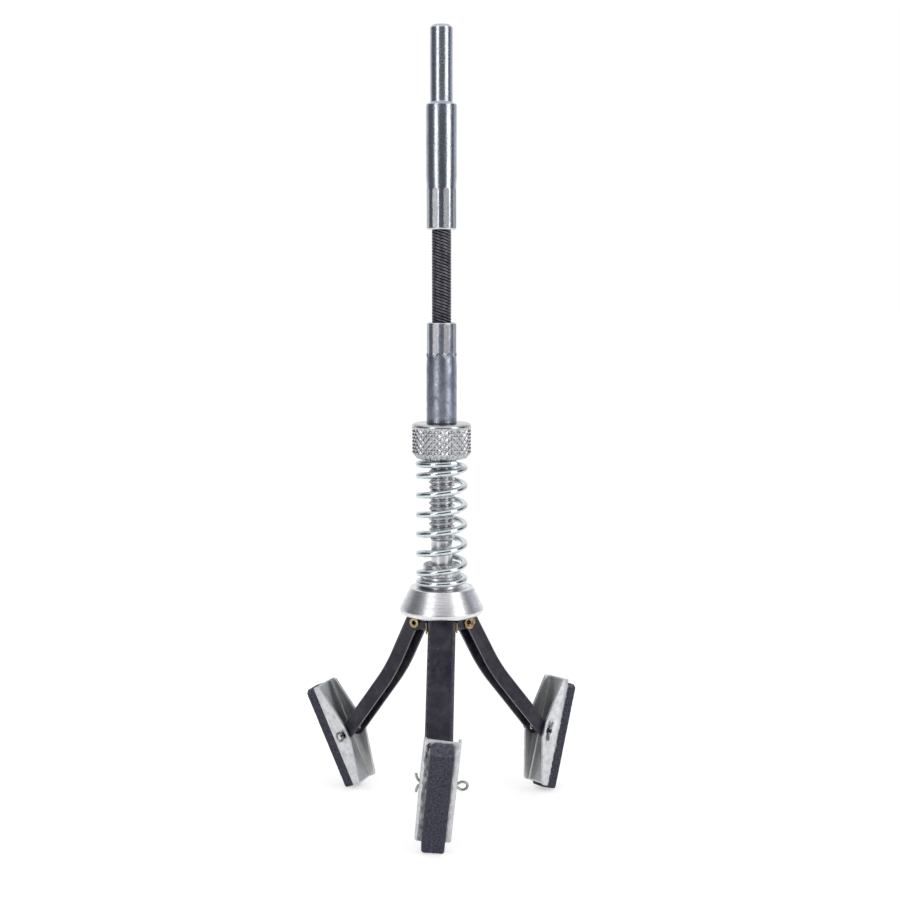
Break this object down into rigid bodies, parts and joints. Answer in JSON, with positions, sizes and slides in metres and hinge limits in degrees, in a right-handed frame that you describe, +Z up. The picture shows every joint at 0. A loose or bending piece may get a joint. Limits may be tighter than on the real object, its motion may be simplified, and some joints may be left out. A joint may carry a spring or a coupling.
{
  "type": "cylinder hone",
  "caption": "Expanding hone with a chuck shank, short flexible shaft, knurled adjusting nut, coil spring and cone collar over sprung arms that carry abrasive stones.",
  "frame": {"origin": "on the spindle axis, at the shoulder where the chuck shank starts", "axes": "+Z up the spindle towards the chuck end, -Y along the middle leg that faces the front"},
  "size_m": [0.0787, 0.068, 0.2138],
  "materials": {
    "zinc_plated_steel": "turned and zinc plated, bluish, semi-gloss",
    "flex_wire": "blackened wound spring wire, satin",
    "nut_steel": "zinc plated, diamond knurled",
    "spring_wire": "bright zinc-plated spring wire",
    "turned_aluminium": "as turned, with fine lathe rings",
    "bush_steel": "sintered grey, matt",
    "yoke_steel": "dark, dull",
    "arm_black": "black coated pressing, satin",
    "brass": "tubular rivet, rolled",
    "holder_zinc": "zinc-plated pressing",
    "stone_grit": "fine dark abrasive, dry",
    "cotter_steel": "bright split wire"
  },
  "bodies": {
    "spindle": {"threaded_spindle": "zinc_plated_steel", "flex_shaft_lower": "flex_wire", "yoke": "yoke_steel", "arm_rivet_1": "brass", "arm_rivet_2": "brass", "arm_rivet_3": "brass"},
    "drive_end": {"drive_shank": "zinc_plated_steel", "flex_shaft_upper": "flex_wire"},
    "spring": {"tension_spring": "spring_wire"},
    "nut": {"adjusting_nut": "nut_steel"},
    "collar": {"spring_collar": "turned_aluminium", "guide_bush": "bush_steel"},
    "arm_1": {"arm_1": "arm_black"},
    "pin_1": {"cotter_pin_1": "cotter_steel"},
    "shoe_1": {"stone_holder_1": "holder_zinc", "stone_1": "stone_grit"},
    "arm_2": {"arm_2": "arm_black"},
    "pin_2": {"cotter_pin_2": "cotter_steel"},
    "shoe_2": {"stone_holder_2": "holder_zinc", "stone_2": "stone_grit"},
    "arm_3": {"arm_3": "arm_black"},
    "pin_3": {"cotter_pin_3": "cotter_steel"},
    "shoe_3": {"stone_holder_3": "holder_zinc", "stone_3": "stone_grit"}
  },
  "joints": [
    {"name": "shaft_bend", "type": "hinge", "parent": "spindle", "child": "drive_end", "pos_m": [0, 0, -0.0456], "axis": [0, 1, 0], "range_deg": [-25, 25], "stiffness_Nm_per_rad": 0.3},
    {"name": "nut_travel", "type": "slide", "parent": "spindle", "child": "spring", "axis": [0, 0, 1], "range_m": [-0.0181, 0], "deforming": ["tension_spring"]},
    {"name": "nut_turn", "type": "hinge", "parent": "spring", "child": "nut", "pos_m": [0, 0, -0.09], "axis": [0, 0, 1], "range_deg": [-4469, 0]},
    {"name": "collar_slide", "type": "slide", "parent": "spindle", "child": "collar", "axis": [0, 0, 1], "range_m": [0, 0.00125]},
    {"name": "arm_swing_1", "type": "hinge", "parent": "spindle", "child": "arm_1", "pos_m": [0, -0.0065, -0.1407], "axis": [1, 0, 0], "range_deg": [0, 35], "stiffness_Nm_per_rad": 0.0372, "springref_deg": -28.65},
    {"name": "pin_turn_1", "type": "hinge", "parent": "arm_1", "child": "pin_1", "pos_m": [-0.00104, -0.03171, -0.17577], "axis": [0.9967, 0.0767, -0.0272], "range_deg": [-46, 0]},
    {"name": "shoe_rock_1", "type": "hinge", "parent": "pin_1", "child": "shoe_1", "pos_m": [-0.00104, -0.03171, -0.17577], "axis": [0.9962, 0.0246, -0.0836], "range_deg": [-8, 10]},
    {"name": "arm_swing_2", "type": "hinge", "parent": "spindle", "child": "arm_2", "pos_m": [0.00563, 0.00325, -0.1407], "axis": [-0.5, 0.866, 0], "range_deg": [0, 35]},
    {"name": "pin_turn_2", "type": "hinge", "parent": "arm_2", "child": "pin_2", "pos_m": [0.02829, 0.01514, -0.1755], "axis": [-0.564, 0.8253, -0.0263], "range_deg": [-46.7, 0]},
    {"name": "shoe_rock_2", "type": "hinge", "parent": "pin_2", "child": "shoe_2", "pos_m": [0.02829, 0.01514, -0.1755], "axis": [-0.5203, 0.8499, -0.0833], "range_deg": [-8, 10]},
    {"name": "arm_swing_3", "type": "hinge", "parent": "spindle", "child": "arm_3", "pos_m": [-0.00563, 0.00325, -0.1407], "axis": [-0.5, -0.866, 0], "range_deg": [0, 35]},
    {"name": "pin_turn_3", "type": "hinge", "parent": "arm_3", "child": "pin_3", "pos_m": [-0.02629, 0.0164, -0.17629], "axis": [-0.4393, -0.8981, -0.0198], "range_deg": [-52.8, 0]},
    {"name": "shoe_rock_3", "type": "hinge", "parent": "pin_3", "child": "shoe_3", "pos_m": [-0.02629, 0.0164, -0.17629], "axis": [-0.4684, -0.8799, -0.0801], "range_deg": [-8, 10]}
  ],
  "couplings": [
    {"joint": "nut_travel", "follows": "nut_turn", "m_per_rad": 0.00023078},
    {"joint": "collar_slide", "follows": "arm_swing_1", "m_per_rad": 0.002},
    {"joint": "pin_turn_1", "follows": "arm_swing_1", "ratio": -1.3},
    {"joint": "arm_swing_2", "follows": "arm_swing_1", "ratio": 1},
    {"joint": "pin_turn_2", "follows": "arm_swing_1", "ratio": -1.3199},
    {"joint": "arm_swing_3", "follows": "arm_swing_1", "ratio": 1},
    {"joint": "pin_turn_3", "follows": "arm_swing_1", "ratio": -1.4937}
  ]
}
